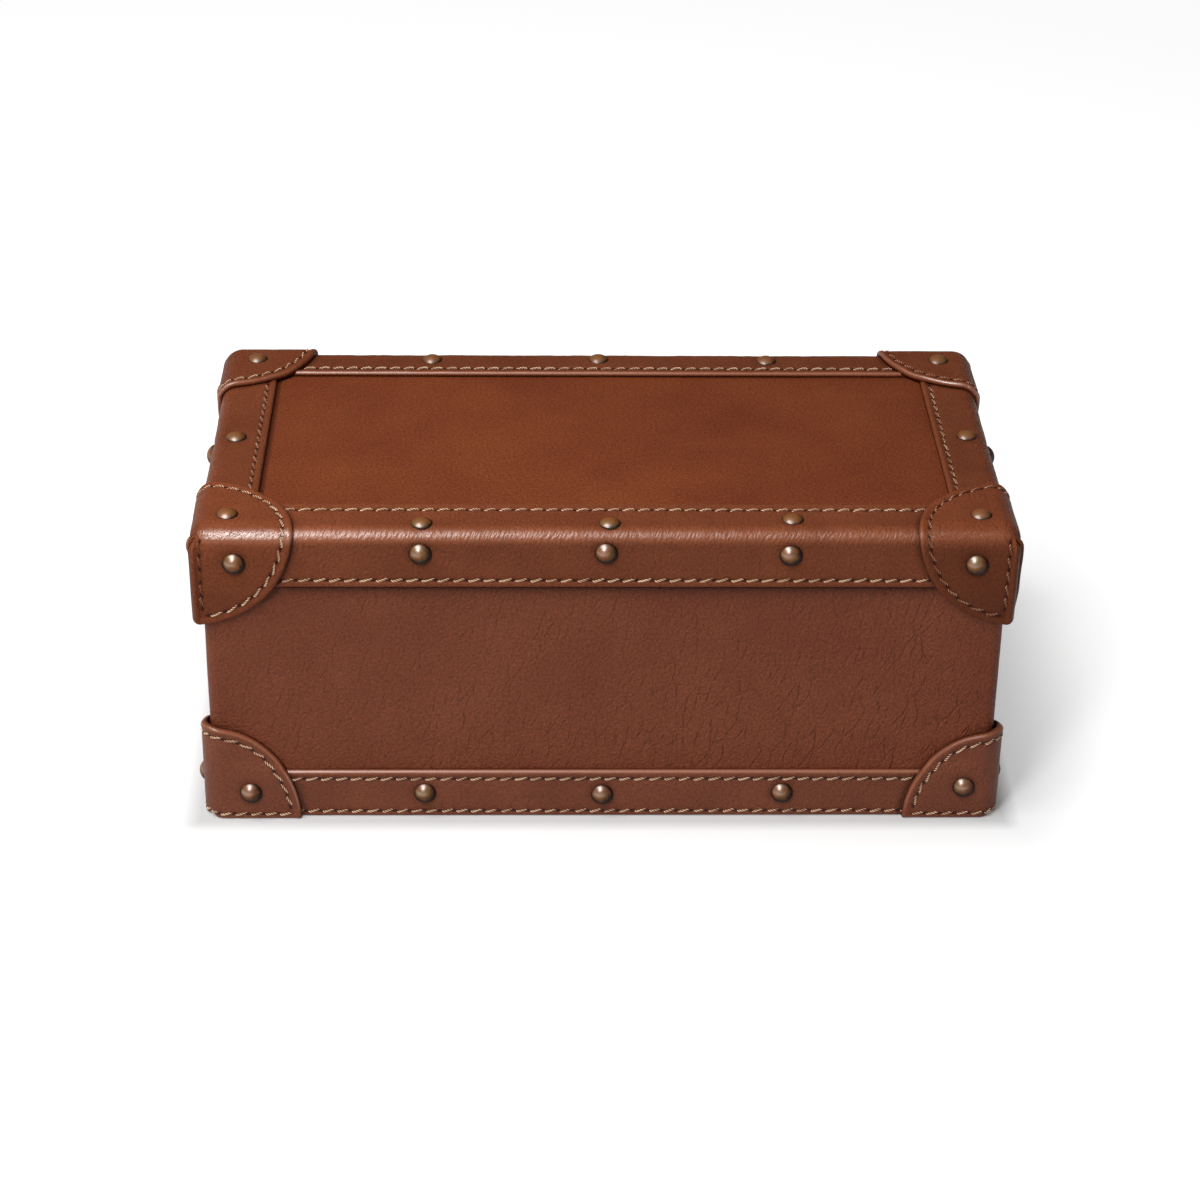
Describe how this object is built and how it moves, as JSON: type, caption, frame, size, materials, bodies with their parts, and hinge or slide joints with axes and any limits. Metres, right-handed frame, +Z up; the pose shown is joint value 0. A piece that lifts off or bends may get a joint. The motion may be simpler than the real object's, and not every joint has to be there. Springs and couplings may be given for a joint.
{
  "type": "keepsake box",
  "caption": "Rectangular leather-covered keepsake box with sewn bindings, leather corners, dome-headed nails and a lift-off lid over an inner collar.",
  "frame": {"origin": "middle of the underside, on the surface that the box stands on", "axes": "+X to the right along the long side, +Y to the back, +Z up"},
  "size_m": [0.2656, 0.1406, 0.1103],
  "materials": {
    "board": "sawn and sanded thin plywood, unfinished",
    "wall_leather": "drum-dyed cowhide, creased, semi-matte",
    "lid_leather": "drum-dyed cowhide, smooth, semi-matte",
    "binding_leather": "drum-dyed cowhide strip, turned edges, waxed sheen",
    "corner_leather": "drum-dyed cowhide, moulded, waxed sheen",
    "antique_brass": "antiqued, worn bright on the crown",
    "lining_suede": "split suede, napped, matte",
    "thread": "waxed twisted linen, tan",
    "underside_suede": "split suede, napped, matte"
  },
  "bodies": {
    "base": {"base_floor_board": "board", "base_front_board": "board", "base_back_board": "board", "base_left_board": "board", "base_right_board": "board", "base_underside_sheet": "underside_suede", "base_wall_leather": "wall_leather", "base_front_binding": "binding_leather", "base_back_binding": "binding_leather", "base_left_binding": "binding_leather", "base_right_binding": "binding_leather", "base_front_left_corner": "corner_leather", "base_front_right_corner": "corner_leather", "base_back_left_corner": "corner_leather", "base_back_right_corner": "corner_leather", "base_front_nails": "antique_brass", "base_back_nails": "antique_brass", "base_left_nails": "antique_brass", "base_right_nails": "antique_brass", "collar_front_panel": "lining_suede", "collar_back_panel": "lining_suede", "collar_left_panel": "lining_suede", "collar_right_panel": "lining_suede", "base_floor_pad": "lining_suede"},
    "lid": {"lid_top_board": "board", "lid_front_board": "board", "lid_back_board": "board", "lid_left_board": "board", "lid_right_board": "board", "lid_leather": "lid_leather", "lid_front_binding": "binding_leather", "lid_back_binding": "binding_leather", "lid_left_binding": "binding_leather", "lid_right_binding": "binding_leather", "lid_front_left_corner": "corner_leather", "lid_front_right_corner": "corner_leather", "lid_back_left_corner": "corner_leather", "lid_back_right_corner": "corner_leather", "lid_top_nails": "antique_brass", "lid_front_nails": "antique_brass", "lid_back_nails": "antique_brass", "lid_left_nails": "antique_brass", "lid_right_nails": "antique_brass", "lid_top_lining": "lining_suede", "lid_front_lining": "lining_suede", "lid_back_lining": "lining_suede", "lid_left_lining": "lining_suede", "lid_right_lining": "lining_suede"}
  },
  "joints": [
    {"name": "lid_lift", "type": "slide", "parent": "base", "child": "lid", "axis": [0, 0, 1], "range_m": [0, 0.12]}
  ]
}
